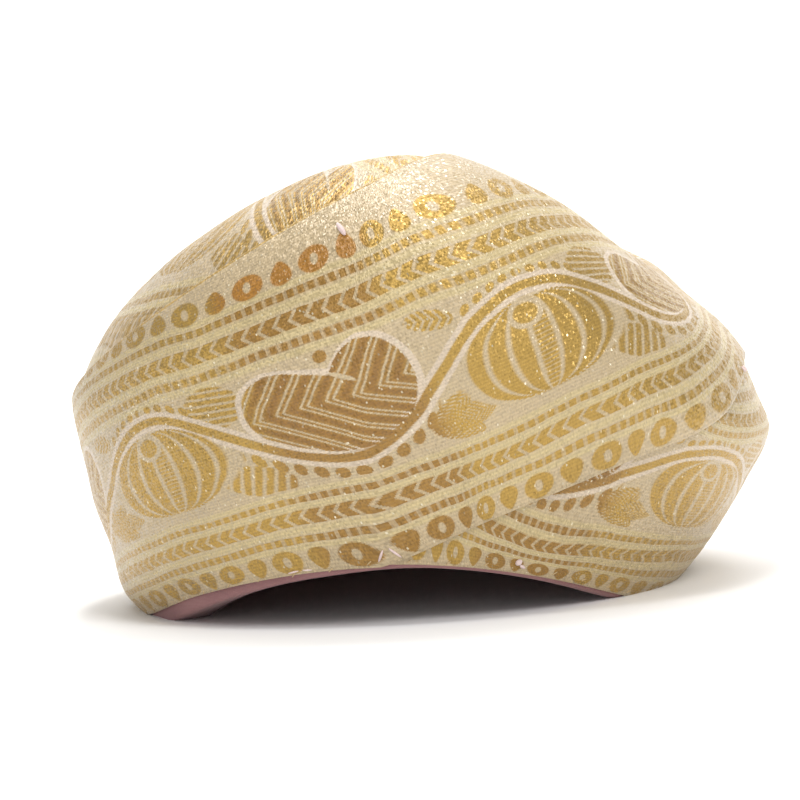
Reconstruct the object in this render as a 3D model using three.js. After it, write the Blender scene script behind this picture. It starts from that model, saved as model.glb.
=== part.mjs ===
// A ready-made peta: a ceremonial turban of stiff zari brocade, worn like a hat.
// Two wide wraps of brocade cross at the brow and again at the nape. Each runs right round the head, low on
// one side and high on the other. Inside them a cap lining holds the head. A pleated crown closes the top.
// Millimetres, +Z up, brow towards -Y, the wearer's left ear towards +X. It stands on the rim's two lobes.
import * as THREE from "three";
import { mergeVertices } from "three/addons/utils/BufferGeometryUtils.js";

// Head opening and the cap lining that holds it.
const headWidth = 152;
const headLength = 198;
const capWallHeight = 58;
const capDepth = 104;
const liningThick = 2;
const hemRise = 7;
const armClear = 0.4;

// Brocade, and how its layers lie on each other.
const clothThick = 1.6;
const layerGap = 0.9;
const gatherDepth = 1.3;
const gatherCount = 3;

// The crown's cloth and its pleats.
const crownThick = 2;
const crownClear = 0.4;
const crownPleatDepth = 1.6;
const crownPleatCount = 16;

// Reach of the outermost cloth: past the head at the foot, then the flare on each side.
const rimPad = 15;
const leftFlare = 28;
const rightFlare = 35;
const frontFlare = 11;
const backFlare = 15;

// Heights of the rim's arches, of the crest that runs round the top edge, and of the crown's middle.
const browArch = 24;
const napeArch = 10;
const crestHeight = 161;
const crownHeight = 141;
const wellDepth = 9;

// Half angles that the arches take up, in degrees from the middle of the brow and of the nape.
const browSpread = 74;
const napeSpread = 42;

// Squareness of the plan: 2 is an ellipse.
const headSquareness = 2.15;
const rimSquareness = 2.1;

// Counts of mesh steps. overlapSteps is how far each end of the front wrap runs past the nape.
const aroundSteps = 60;
const wrapSteps = 14;
const crownSteps = 7;
const overlapSteps = 2;

const layerStep = clothThick + layerGap;
const stepAngle = 360 / aroundSteps;
const overlapAngle = overlapSteps * stepAngle;

// Angles round the head are in degrees: 0 is the brow, 90 the right-hand side seen from the front, 180 the
// nape. climb is the place along the wall: 0 at its foot, 1 at the crown's middle.

// Height of the crest, as a share of crestHeight.
const crestRows = [
  { angle: -180, height: 0.87 },
  { angle: -150, height: 0.86 },
  { angle: -120, height: 0.83 },
  { angle: -90, height: 0.8 },
  { angle: -60, height: 0.85 },
  { angle: -30, height: 0.935 },
  { angle: -5, height: 0.995 },
  { angle: 15, height: 1.0 },
  { angle: 40, height: 0.925 },
  { angle: 65, height: 0.815 },
  { angle: 95, height: 0.76 },
  { angle: 130, height: 0.81 },
];

// The wall on each side of the head. In the skirt, from the foot to the widest place, out is the share of
// that side's flare. On the shoulder, from there to the crest, out is the share of the widest reach. up is
// the share of the height between the rim and the crest.
const profiles = {
  left: {
    skirt: [
      { climb: 0.0, out: 0.28, up: 0.019 },
      { climb: 0.05, out: 0.56, up: 0.09 },
      { climb: 0.12, out: 0.7, up: 0.203 },
      { climb: 0.2, out: 0.8, up: 0.342 },
      { climb: 0.29, out: 0.92, up: 0.5 },
      { climb: 0.36, out: 1.0, up: 0.62 },
    ],
    shoulder: [
      { climb: 0.42, out: 0.965, up: 0.714 },
      { climb: 0.49, out: 0.885, up: 0.816 },
      { climb: 0.56, out: 0.79, up: 0.9 },
      { climb: 0.63, out: 0.65, up: 0.977 },
      { climb: 0.69, out: 0.55, up: 1.0 },
    ],
  },
  right: {
    skirt: [
      { climb: 0.0, out: -0.1, up: 0.006 },
      { climb: 0.05, out: 0.09, up: 0.06 },
      { climb: 0.12, out: 0.4, up: 0.165 },
      { climb: 0.2, out: 0.73, up: 0.302 },
      { climb: 0.29, out: 1.0, up: 0.456 },
      { climb: 0.36, out: 0.9, up: 0.577 },
    ],
    shoulder: [
      { climb: 0.42, out: 0.93, up: 0.681 },
      { climb: 0.49, out: 0.84, up: 0.79 },
      { climb: 0.56, out: 0.745, up: 0.885 },
      { climb: 0.63, out: 0.65, up: 0.97 },
      { climb: 0.69, out: 0.55, up: 1.0 },
    ],
  },
  front: {
    skirt: [
      { climb: 0.0, out: -0.1, up: 0.01 },
      { climb: 0.05, out: 0.2, up: 0.095 },
      { climb: 0.12, out: 0.5, up: 0.212 },
      { climb: 0.2, out: 0.8, up: 0.343 },
      { climb: 0.29, out: 1.0, up: 0.5 },
      { climb: 0.36, out: 0.95, up: 0.62 },
    ],
    shoulder: [
      { climb: 0.42, out: 0.972, up: 0.719 },
      { climb: 0.49, out: 0.912, up: 0.825 },
      { climb: 0.56, out: 0.82, up: 0.912 },
      { climb: 0.63, out: 0.7, up: 0.974 },
      { climb: 0.69, out: 0.584, up: 1.0 },
    ],
  },
  back: {
    skirt: [
      { climb: 0.0, out: -0.07, up: 0.012 },
      { climb: 0.05, out: 0.2, up: 0.096 },
      { climb: 0.12, out: 0.52, up: 0.214 },
      { climb: 0.2, out: 0.84, up: 0.351 },
      { climb: 0.29, out: 1.0, up: 0.511 },
      { climb: 0.36, out: 0.82, up: 0.634 },
    ],
    shoulder: [
      { climb: 0.42, out: 0.938, up: 0.733 },
      { climb: 0.49, out: 0.86, up: 0.828 },
      { climb: 0.56, out: 0.756, up: 0.9 },
      { climb: 0.63, out: 0.64, up: 0.966 },
      { climb: 0.69, out: 0.539, up: 1.0 },
    ],
  },
};

// The well inside the crest and the crown's dome. out is the share of the crest's reach, toCrown the share
// of the way from the crest's height to the crown's, and dip the share of the well's depth.
const wellRows = [
  { climb: 0.76, out: 0.77, toCrown: 0.1, dip: 0.5 },
  { climb: 0.85, out: 0.49, toCrown: 0.4, dip: 0.35 },
  { climb: 0.93, out: 0.23, toCrown: 0.8, dip: 0.1 },
  { climb: 1.0, out: 0.0, toCrown: 1.0, dip: 0.0 },
];

// Where the two edges of each wrap run, in climb. The front wrap is low at -90, the under wrap at 90.
const frontWrapEdges = [
  { angle: -180, lower: 0.0, upper: 0.58 },
  { angle: -150, lower: 0.0, upper: 0.48 },
  { angle: -120, lower: 0.0, upper: 0.39 },
  { angle: -90, lower: 0.0, upper: 0.35 },
  { angle: -60, lower: 0.0, upper: 0.385 },
  { angle: -30, lower: 0.0, upper: 0.45 },
  { angle: 0, lower: 0.0, upper: 0.56 },
  { angle: 20, lower: 0.08, upper: 0.67 },
  { angle: 50, lower: 0.24, upper: 0.75 },
  { angle: 90, lower: 0.42, upper: 0.78 },
  { angle: 125, lower: 0.32, upper: 0.76 },
  { angle: 155, lower: 0.12, upper: 0.68 },
];
const underWrapEdges = [
  { angle: -180, lower: 0.0, upper: 0.68 },
  { angle: -150, lower: 0.08, upper: 0.74 },
  { angle: -120, lower: 0.2, upper: 0.77 },
  { angle: -90, lower: 0.25, upper: 0.78 },
  { angle: -60, lower: 0.22, upper: 0.77 },
  { angle: -30, lower: 0.08, upper: 0.76 },
  { angle: 0, lower: 0.0, upper: 0.72 },
  { angle: 30, lower: 0.0, upper: 0.62 },
  { angle: 60, lower: 0.0, upper: 0.55 },
  { angle: 90, lower: 0.0, upper: 0.53 },
  { angle: 120, lower: 0.0, upper: 0.54 },
  { angle: 150, lower: 0.0, upper: 0.6 },
];

// How fully the wraps' long ribs are gathered, as a share of gatherDepth: smooth in front, full at the nape.
const gatherRows = [
  { angle: -180, depth: 1.0 },
  { angle: -135, depth: 0.94 },
  { angle: -90, depth: 0.35 },
  { angle: -45, depth: 0.0 },
  { angle: 0, depth: 0.0 },
  { angle: 45, depth: 0.0 },
  { angle: 90, depth: 0.35 },
  { angle: 135, depth: 0.94 },
];

// Past a hidden edge the wrap over it stays raised for settleMargin, then comes down within settleClimb.
const settleMargin = 0.03;
const settleClimb = 0.1;

// The front wrap's end starts to rise over its own beginning, and is clear of it, this many overlaps before
// the nape.
const endRisesAt = 2.4;
const endClearAt = 1.2;

// Where the crown's cloth starts under the wraps, how its rows crowd towards the crest, and where its pleats
// start, with the climb that they take to deepen and to fade out again at the middle.
const crownHemClimb = 0.56;
const crownRowPower = 1.35;
const pleatStartClimb = 0.76;
const pleatDeepen = 0.1;
const pleatFade = 0.08;

// The lining's outer arm climbs inside the wraps to these places. Its flat hem takes up a share of the way
// from the head to the wraps' foot, a little less on its upper face.
const liningArmClimbs = [0.1, 0.06, 0.025];
const hemOuterShare = 0.42;
const hemInnerShare = 0.08;
const hemBevelShare = 0.07;
const domeTurns = [22, 45, 68, 90];

const degrees = (value) => (value * Math.PI) / 180;
const mix = (from, to, share) => from + (to - from) * share;
const range = (count) => Array.from({ length: count }, (_, k) => k);
const signedAngle = (angle) => ((((angle + 180) % 360) + 360) % 360) - 180;
const wave = (turns) => 0.5 - 0.5 * Math.cos(2 * Math.PI * turns);

// 0 up to 0 and 1 from 1 on, with a smooth rise between.
function ease(share) {
  const s = Math.min(Math.max(share, 0), 1);
  return s * s * (3 - 2 * s);
}

// A smooth curve through one column of a table, at a place along another.
function follow(rows, column, along, place) {
  const last = rows.length - 1;
  let i = 0;
  while (i < last - 1 && rows[i + 1][along] < place) i += 1;
  const slope = (k) => {
    const a = rows[Math.max(k - 1, 0)];
    const b = rows[Math.min(k + 1, last)];
    return (b[column] - a[column]) / (b[along] - a[along]);
  };
  const p = rows[i];
  const q = rows[i + 1];
  const span = q[along] - p[along];
  const s = (place - p[along]) / span;
  const value = p[column] * (1 + 2 * s) * (1 - s) ** 2 + q[column] * s * s * (3 - 2 * s);
  return value + span * s * (1 - s) * (slope(i) * (1 - s) - slope(i + 1) * s);
}

// The same for a table that closes on itself after a full turn.
function followRound(rows, column, angle) {
  const before = rows.slice(-2).map((row) => ({ ...row, angle: row.angle - 360 }));
  const after = rows.slice(0, 3).map((row) => ({ ...row, angle: row.angle + 360 }));
  return follow([...before, ...rows, ...after], column, "angle", signedAngle(angle));
}

// Turns the shares of one side's tables into a single table of reaches in millimetres.
function sideRows(profile, halfHead, flare) {
  const foot = halfHead + rimPad;
  const widest = foot + flare;
  const wall = (row, reach) => ({ climb: row.climb, reach, up: row.up, toCrown: 0, dip: 0 });
  const skirt = profile.skirt.map((row) => wall(row, foot + flare * row.out));
  const shoulder = profile.shoulder.map((row) => wall(row, widest * row.out));
  const crestReach = shoulder.at(-1).reach;
  const well = wellRows.map((row) => ({ ...row, reach: crestReach * row.out, up: 1 }));
  return [...skirt, ...shoulder, ...well];
}

const sides = {
  left: sideRows(profiles.left, headWidth / 2, leftFlare),
  right: sideRows(profiles.right, headWidth / 2, rightFlare),
  front: sideRows(profiles.front, headLength / 2, frontFlare),
  back: sideRows(profiles.back, headLength / 2, backFlare),
};

// Height of the rim above the floor: nothing along the two lobes, arched over the brow and the nape.
function rimHeight(angle) {
  const fromBrow = Math.abs(signedAngle(angle));
  const fromNape = 180 - fromBrow;
  const arch = (away, spread) => Math.cos(degrees(90 * Math.min(away / spread, 1))) ** 2;
  return browArch * arch(fromBrow, browSpread) + napeArch * arch(fromNape, napeSpread);
}

// Reach of a squared ellipse at an angle, from its reach across and along the head.
function planReach(angle, across, along, squareness) {
  const s = Math.abs(Math.sin(degrees(angle)));
  const c = Math.abs(Math.cos(degrees(angle)));
  return ((s / across) ** squareness + (c / along) ** squareness) ** (-1 / squareness);
}

function towards(angle, reach, height) {
  return new THREE.Vector3(reach * Math.sin(degrees(angle)), -reach * Math.cos(degrees(angle)), height);
}

// A point of the outermost skin, at an angle round the head and a climb up the wall.
function form(angle, climb) {
  const side = Math.sin(degrees(angle)) < 0 ? sides.left : sides.right;
  const end = Math.cos(degrees(angle)) < 0 ? sides.back : sides.front;
  const sideShare = Math.sin(degrees(angle)) ** 2;
  const read = (rows, column) => follow(rows, column, "climb", climb);
  const blend = (column) => mix(read(end, column), read(side, column), sideShare);
  const rim = rimHeight(angle);
  const crest = crestHeight * followRound(crestRows, "height", angle);
  const rise = blend("up") * (crest - rim) + blend("toCrown") * (crownHeight - crest);
  const pole = 1e-6;
  const across = Math.max(read(side, "reach"), pole);
  const along = Math.max(read(end, "reach"), pole);
  const reach = planReach(angle, across, along, rimSquareness);
  return towards(angle, reach, rim + rise - blend("dip") * wellDepth);
}

// A point sunk below the skin by a depth, square to the skin.
function sunk(angle, climb, depth) {
  const point = form(angle, climb);
  if (climb === 1) return point.add(new THREE.Vector3(0, 0, -depth));
  const turn = 1;
  const step = 0.01;
  const around = form(angle + turn, climb).sub(form(angle - turn, climb));
  const rising = form(angle, Math.min(climb + step, 1)).sub(form(angle, Math.max(climb - step, 0)));
  return point.addScaledVector(around.cross(rising).normalize(), -depth);
}

// Climb at a share of the way across a wrap, from its lower edge to its upper one.
function climbAcross(edges, angle, across) {
  return mix(followRound(edges, "lower", angle), followRound(edges, "upper", angle), across);
}

// 1 where a wrap lies at this place, falling smoothly to 0 past its edges.
function covered(edges, angle, climb) {
  const pastLower = climb - climbAcross(edges, angle, 0);
  const pastUpper = climbAcross(edges, angle, 1) - climb;
  const raised = (past) => ease((past + settleMargin) / settleClimb + 1);
  return raised(pastLower) * raised(pastUpper);
}

// How far a wrap's ribs stand out at a place on it.
function gather(angle, across) {
  return gatherDepth * followRound(gatherRows, "depth", angle) * wave(gatherCount * across);
}

// A closed solid between two grids of points. round is true where the last column meets the first.
function shell(outer, inner, round) {
  const columns = outer.length;
  const rows = outer[0].length;
  const points = [...outer.flat(), ...inner.flat()];
  const at = (skin, i, j) => skin * columns * rows + (i % columns) * rows + j;
  const triangles = [];
  const quad = (a, b, c, d) => triangles.push(a, b, c, a, c, d);
  for (let i = 0; i < (round ? columns : columns - 1); i += 1) {
    for (let j = 0; j < rows - 1; j += 1) {
      quad(at(0, i, j), at(0, i + 1, j), at(0, i + 1, j + 1), at(0, i, j + 1));
      quad(at(1, i, j), at(1, i, j + 1), at(1, i + 1, j + 1), at(1, i + 1, j));
    }
    quad(at(1, i, 0), at(1, i + 1, 0), at(0, i + 1, 0), at(0, i, 0));
    quad(at(0, i, rows - 1), at(0, i + 1, rows - 1), at(1, i + 1, rows - 1), at(1, i, rows - 1));
  }
  const end = columns - 1;
  for (let j = 0; !round && j < rows - 1; j += 1) {
    quad(at(0, 0, j), at(0, 0, j + 1), at(1, 0, j + 1), at(1, 0, j));
    quad(at(0, end, j), at(1, end, j), at(1, end, j + 1), at(0, end, j + 1));
  }
  return closedGeometry(points, triangles);
}

// Joins points that coincide, as at a pole, and drops the triangles that this flattens.
function closedGeometry(points, triangles) {
  const raw = new THREE.BufferGeometry().setFromPoints(points);
  raw.setIndex(triangles);
  const merged = mergeVertices(raw, 0.0005);
  const index = merged.index.array;
  const kept = [];
  for (let k = 0; k < index.length; k += 3) {
    const [a, b, c] = [index[k], index[k + 1], index[k + 2]];
    if (a !== b && b !== c && c !== a) kept.push(a, b, c);
  }
  merged.setIndex(kept);
  merged.computeVertexNormals();
  return merged;
}

// A piece of cloth as a closed solid. place gives the climb and the depth below the skin of its outer face,
// from the angle and the share of the way across it.
function cloth(angles, steps, thick, round, place) {
  const skin = (extra) =>
    angles.map((angle) =>
      range(steps + 1).map((j) => {
        const { climb, depth } = place(angle, j / steps);
        return sunk(angle, climb, depth + extra);
      }),
    );
  return shell(skin(0), skin(thick), round);
}

const fullTurn = range(aroundSteps).map((k) => -180 + k * stepAngle);

// The front wrap lies outermost where the two cross, and settles onto the base where it is alone. Its end
// runs on past its beginning at the nape and lies over it.
function frontWrap() {
  const columns = range(aroundSteps + 2 * overlapSteps + 1);
  const angles = columns.map((k) => -180 - overlapAngle + k * stepAngle);
  return cloth(angles, wrapSteps, clothThick, false, (angle, across) => {
    const climb = climbAcross(frontWrapEdges, angle, across);
    const toNape = (180 - angle) / overlapAngle;
    const lifted = ease((endRisesAt - toNape) / (endRisesAt - endClearAt));
    const settled = 1 - covered(underWrapEdges, angle, climb);
    return { climb, depth: layerStep * (settled - lifted) - gather(angle, across) };
  });
}

// The under wrap lies on the base all the way round. Its ribs swell only where the front wrap leaves it bare.
function underWrap() {
  return cloth(fullTurn, wrapSteps, clothThick, true, (angle, across) => {
    const climb = climbAcross(underWrapEdges, angle, across);
    const bare = 1 - covered(frontWrapEdges, angle, climb);
    return { climb, depth: layerStep - bare * gather(angle, across) };
  });
}

// The crown passes under the crest of the wraps and closes the top in soft pleats.
function crown() {
  return cloth(fullTurn, crownSteps, crownThick, true, (angle, across) => {
    const climb = mix(crownHemClimb, 1, across ** crownRowPower);
    const open = ease((climb - pleatStartClimb) / pleatDeepen) * ease((1 - climb) / pleatFade);
    const pleat = crownPleatDepth * open * wave((angle / 360) * crownPleatCount);
    return { climb, depth: 2 * layerStep + crownClear + pleat };
  });
}

// The cap lining: an outer arm against the wraps, a flat hem that the turban stands on, a wall round the
// head and a shallow dome. Each row gives a point of the face that shows, or of the face behind it.
function liningCap() {
  const headReach = (angle) => planReach(angle, headWidth / 2, headLength / 2, headSquareness);
  const backing = (behind) => (behind ? liningThick : 0);
  const arm = (climb) => (angle, behind) => sunk(angle, climb, 2 * layerStep + armClear + backing(behind));
  const hem = (share, bevel) => (angle, behind) => {
    const foot = form(angle, 0);
    const reach = mix(headReach(angle), Math.hypot(foot.x, foot.y), share + (behind ? bevel : 0));
    return towards(angle, reach, rimHeight(angle) + backing(behind));
  };
  const wallFoot = (angle, behind) =>
    towards(angle, headReach(angle) + backing(behind), rimHeight(angle) + hemRise);
  const wallTop = (angle, behind) => towards(angle, headReach(angle) + backing(behind), capWallHeight);
  const dome = (turn) => (angle, behind) => {
    const shrink = turn === 90 ? 0 : Math.cos(degrees(turn));
    const rise = (capDepth + backing(behind) - capWallHeight) * Math.sin(degrees(turn));
    return towards(angle, (headReach(angle) + backing(behind)) * shrink, capWallHeight + rise);
  };
  const rows = [
    ...liningArmClimbs.map(arm),
    hem(hemOuterShare, -hemBevelShare),
    hem(hemInnerShare, hemBevelShare),
    wallFoot,
    wallTop,
    ...domeTurns.map(dome),
  ];
  const skin = (behind) => fullTurn.map((angle) => rows.map((row) => row(angle, behind)));
  return shell(skin(true), skin(false), true);
}

function piece(name, geometry, color, roughness, metalness) {
  const mesh = new THREE.Mesh(geometry, new THREE.MeshStandardMaterial({ color, roughness, metalness }));
  mesh.name = name;
  return mesh;
}

const peta = new THREE.Group();
peta.name = "peta_turban";
peta.add(piece("front_wrap", frontWrap(), 0xc9a552, 0.45, 0.35));
peta.add(piece("under_wrap", underWrap(), 0xc6a65c, 0.48, 0.3));
peta.add(piece("crown", crown(), 0xe3d3ae, 0.6, 0.1));
peta.add(piece("lining_cap", liningCap(), 0xb08a86, 0.85, 0));

// The origin is the middle of the bounding box at floor height.
const extent = new THREE.Box3().setFromObject(peta);
const middle = extent.getCenter(new THREE.Vector3());
peta.position.set(-middle.x, -middle.y, -extent.min.z);

export default peta;
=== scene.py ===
import math
import bmesh
import bpy
from mathutils import Matrix, Vector, noise


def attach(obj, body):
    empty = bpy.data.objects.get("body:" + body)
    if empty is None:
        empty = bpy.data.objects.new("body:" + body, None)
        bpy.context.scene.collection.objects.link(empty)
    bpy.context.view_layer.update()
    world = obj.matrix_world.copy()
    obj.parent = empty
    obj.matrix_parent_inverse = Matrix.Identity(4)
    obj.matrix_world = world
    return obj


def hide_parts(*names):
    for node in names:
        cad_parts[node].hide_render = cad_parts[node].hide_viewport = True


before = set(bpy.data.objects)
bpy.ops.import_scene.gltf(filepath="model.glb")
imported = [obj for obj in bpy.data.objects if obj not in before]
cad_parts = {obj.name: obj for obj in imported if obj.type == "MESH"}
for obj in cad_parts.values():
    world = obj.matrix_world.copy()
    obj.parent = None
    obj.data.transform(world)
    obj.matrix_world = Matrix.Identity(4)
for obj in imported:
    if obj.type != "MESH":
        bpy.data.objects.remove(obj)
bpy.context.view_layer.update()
mm = 0.001

# Angles round the head are in degrees: 0 the brow, 90 the right-hand side seen from the front, 180 the nape.
# climb is the place along the wall: 0 at its foot, 1 at the crown's middle. Lengths are in millimetres here.
turban = {
    "headWidth": 152,
    "headLength": 198,
    "rimPad": 15,
    "flare": {"left": 28, "right": 35, "front": 11, "back": 15},
    "browArch": 24,
    "napeArch": 10,
    "browSpread": 74,
    "napeSpread": 42,
    "crestHeight": 161,
    "crownHeight": 141,
    "wellDepth": 9,
    "headSquareness": 2.15,
    "rimSquareness": 2.1,
    "clothThick": 1.6,
    "layerGap": 0.9,
    "edgeRound": 0.5,
}
layerStep = turban["clothThick"] + turban["layerGap"]

# Height of the crest that runs round the top edge, as a share of crestHeight.
crestRows = {
    "angle": [-180, -150, -120, -90, -60, -30, -5, 15, 40, 65, 95, 130],
    "height": [0.87, 0.86, 0.83, 0.8, 0.85, 0.935, 0.995, 1.0, 0.925, 0.815, 0.76, 0.81],
}

# The wall on each side. out is a share of that side's flare up to the widest place at climb 0.36, and of the
# widest reach above it. up is a share of the height between the rim and the crest.
wallClimbs = [0.0, 0.05, 0.12, 0.2, 0.29, 0.36, 0.42, 0.49, 0.56, 0.63, 0.69]
skirtCount = 6
profiles = {
    "left": {
        "out": [0.28, 0.56, 0.7, 0.8, 0.92, 1.0, 0.965, 0.885, 0.79, 0.65, 0.55],
        "up": [0.019, 0.09, 0.203, 0.342, 0.5, 0.62, 0.714, 0.816, 0.9, 0.977, 1.0],
    },
    "right": {
        "out": [-0.1, 0.09, 0.4, 0.73, 1.0, 0.9, 0.93, 0.84, 0.745, 0.65, 0.55],
        "up": [0.006, 0.06, 0.165, 0.302, 0.456, 0.577, 0.681, 0.79, 0.885, 0.97, 1.0],
    },
    "front": {
        "out": [-0.1, 0.2, 0.5, 0.8, 1.0, 0.95, 0.972, 0.912, 0.82, 0.7, 0.584],
        "up": [0.01, 0.095, 0.212, 0.343, 0.5, 0.62, 0.719, 0.825, 0.912, 0.974, 1.0],
    },
    "back": {
        "out": [-0.07, 0.2, 0.52, 0.84, 1.0, 0.82, 0.938, 0.86, 0.756, 0.64, 0.539],
        "up": [0.012, 0.096, 0.214, 0.351, 0.511, 0.634, 0.733, 0.828, 0.9, 0.966, 1.0],
    },
}

# The well inside the crest and the crown's dome: out is a share of the crest's reach.
wellRows = {
    "climb": [0.76, 0.85, 0.93, 1.0],
    "out": [0.77, 0.49, 0.23, 0.0],
    "toCrown": [0.1, 0.4, 0.8, 1.0],
    "dip": [0.5, 0.35, 0.1, 0.0],
}


def mix(start, end, share):
    return start + (end - start) * share


def ease(share):
    s = min(max(share, 0.0), 1.0)
    return s * s * (3 - 2 * s)


def wave(turns):
    return 0.5 - 0.5 * math.cos(2 * math.pi * turns)


def signedAngle(angle):
    return (angle + 180) % 360 - 180


def follow(places, values, place):  # a smooth curve through a table
    last = len(places) - 1
    i = 0
    while i < last - 1 and places[i + 1] < place:
        i += 1

    def slope(k):
        before, after = max(k - 1, 0), min(k + 1, last)
        return (values[after] - values[before]) / (places[after] - places[before])

    span = places[i + 1] - places[i]
    s = (place - places[i]) / span
    value = values[i] * (1 + 2 * s) * (1 - s) ** 2 + values[i + 1] * s * s * (3 - 2 * s)
    return value + span * s * (1 - s) * (slope(i) * (1 - s) - slope(i + 1) * s)


def followRound(table, column, angle):  # the same for a table that closes on itself
    angles, values = table["angle"], table[column]
    around = [a - 360 for a in angles[-2:]] + angles + [a + 360 for a in angles[:3]]
    return follow(around, values[-2:] + values + values[:3], signedAngle(angle))


def sideTable(side, halfHead):
    foot = halfHead + turban["rimPad"]
    flare = turban["flare"][side]
    out, up = profiles[side]["out"], profiles[side]["up"]
    reach = [foot + flare * share for share in out[:skirtCount]]
    reach += [(foot + flare) * share for share in out[skirtCount:]]
    wellCount = len(wellRows["climb"])
    return {
        "reach": reach + [reach[-1] * share for share in wellRows["out"]],
        "up": up + [1.0] * wellCount,
        "toCrown": [0.0] * len(up) + wellRows["toCrown"],
        "dip": [0.0] * len(up) + wellRows["dip"],
    }


allClimbs = wallClimbs + wellRows["climb"]
halfHead = {"left": "headWidth", "right": "headWidth", "front": "headLength", "back": "headLength"}
sides = {side: sideTable(side, turban[key] / 2) for side, key in halfHead.items()}


def rimHeight(angle):
    fromBrow = abs(signedAngle(angle))
    brow = math.cos(math.radians(90 * min(fromBrow / turban["browSpread"], 1))) ** 2
    nape = math.cos(math.radians(90 * min((180 - fromBrow) / turban["napeSpread"], 1))) ** 2
    return turban["browArch"] * brow + turban["napeArch"] * nape


def planReach(angle, across, along, squareness):
    s, c = abs(math.sin(math.radians(angle))), abs(math.cos(math.radians(angle)))
    return ((s / across) ** squareness + (c / along) ** squareness) ** (-1 / squareness)


def towards(angle, reach, height):
    turn = math.radians(angle)
    return Vector((reach * math.sin(turn), -reach * math.cos(turn), height))


def formPoint(angle, climb):  # a point of the outermost skin
    turn = math.radians(angle)
    side = sides["left" if math.sin(turn) < 0 else "right"]
    end = sides["back" if math.cos(turn) < 0 else "front"]
    sideShare = math.sin(turn) ** 2

    def blend(column):
        atSide = follow(allClimbs, side[column], climb)
        return mix(follow(allClimbs, end[column], climb), atSide, sideShare)

    rim = rimHeight(angle)
    crest = turban["crestHeight"] * followRound(crestRows, "height", angle)
    rise = blend("up") * (crest - rim) + blend("toCrown") * (turban["crownHeight"] - crest)
    across = max(follow(allClimbs, side["reach"], climb), 1e-6)
    along = max(follow(allClimbs, end["reach"], climb), 1e-6)
    reach = planReach(angle, across, along, turban["rimSquareness"])
    return towards(angle, reach, rim + rise - blend("dip") * turban["wellDepth"])


def formNormal(angle, climb):
    around = formPoint(angle + 1, climb) - formPoint(angle - 1, climb)
    rising = formPoint(angle, min(climb + 0.01, 1)) - formPoint(angle, max(climb - 0.01, 0))
    return around.cross(rising).normalized()


# Where the two edges of each wrap run, in climb. The front wrap is low at -90, the under wrap at 90.
# lift is how far the wrap's lower edge stays above the foot, so that the lining's rolled edge shows.
frontWrap = {
    "angle": [-180, -150, -120, -90, -60, -30, 0, 20, 50, 90, 125, 155],
    "lower": [0.0, 0.0, 0.0, 0.0, 0.0, 0.0, 0.0, 0.08, 0.24, 0.42, 0.32, 0.12],
    "upper": [0.58, 0.48, 0.39, 0.35, 0.385, 0.45, 0.56, 0.67, 0.75, 0.78, 0.76, 0.68],
    "endAngles": (-192, 192),
    "endRises": (151.2, 165.6),
    "columns": 384,
    "rows": 56,
}
underWrap = {
    "angle": [-180, -150, -120, -90, -60, -30, 0, 30, 60, 90, 120, 150],
    "lower": [0.0, 0.08, 0.2, 0.25, 0.22, 0.08, 0.0, 0.0, 0.0, 0.0, 0.0, 0.0],
    "upper": [0.68, 0.74, 0.77, 0.78, 0.77, 0.76, 0.72, 0.62, 0.55, 0.53, 0.54, 0.6],
    "endAngles": (-180, 180),
    "columns": 360,
    "rows": 64,
}
rimLift = {
    "angle": [-180, -120, -90, -60, -30, -5, 20, 60, 100, 140],
    "lift": [0.002, 0.003, 0.005, 0.006, 0.006, 0.002, 0.0, 0.0, 0.001, 0.002],
}

# Soft gathers along the wraps, deepest at the nape, and fine creases. Sizes and depths are in millimetres.
gathers = {
    "angle": [-180, -135, -90, -45, 0, 45, 90, 135],
    "depth": [1.0, 0.94, 0.35, 0.0, 0.0, 0.0, 0.35, 0.94],
    "ribDepth": 1.3,
    "ribCount": 3,
}
wrinkle = {"size": 26.0, "depth": 0.55, "fineSize": 7.0, "fineDepth": 0.12, "atEdge": 0.2}
settle = {"margin": 0.03, "climb": 0.1}  # how softly a cloth comes down past the edge of the one below it


def climbAcross(wrap, angle, across):
    return mix(followRound(wrap, "lower", angle), followRound(wrap, "upper", angle), across)


def covered(wrap, angle, climb):  # 1 where a wrap lies, falling smoothly to 0 past its edges
    pastLower = climb - climbAcross(wrap, angle, 0)
    pastUpper = climbAcross(wrap, angle, 1) - climb
    share = 1.0
    for past in (pastLower, pastUpper):
        share *= ease((past + settle["margin"]) / settle["climb"] + 1)
    return share


def ribHeight(angle, across):
    ribs = wave(gathers["ribCount"] * across)
    return gathers["ribDepth"] * followRound(gathers, "depth", angle) * ribs


def wrinkleHeight(point):
    broad = noise.noise(point / wrinkle["size"]) * wrinkle["depth"]
    return broad + noise.noise(point / wrinkle["fineSize"]) * wrinkle["fineDepth"]


def skinDepth(depthAt, point, angle, across, climb):  # how far a wrap's outside lies under the form
    crease = wrinkleHeight(point) * mix(wrinkle["atEdge"], 1, wave(across))
    return depthAt(angle, across, climb) - crease


def frontDepth(angle, across, climb):
    start, clear = frontWrap["endRises"]
    lifted = ease((angle - start) / (clear - start))
    settled = 1 - covered(underWrap, angle, climb)
    return layerStep * (settled - lifted) - ribHeight(angle, across)


def underDepth(angle, across, climb):
    return layerStep - (1 - covered(frontWrap, angle, climb)) * ribHeight(angle, across)


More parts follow.
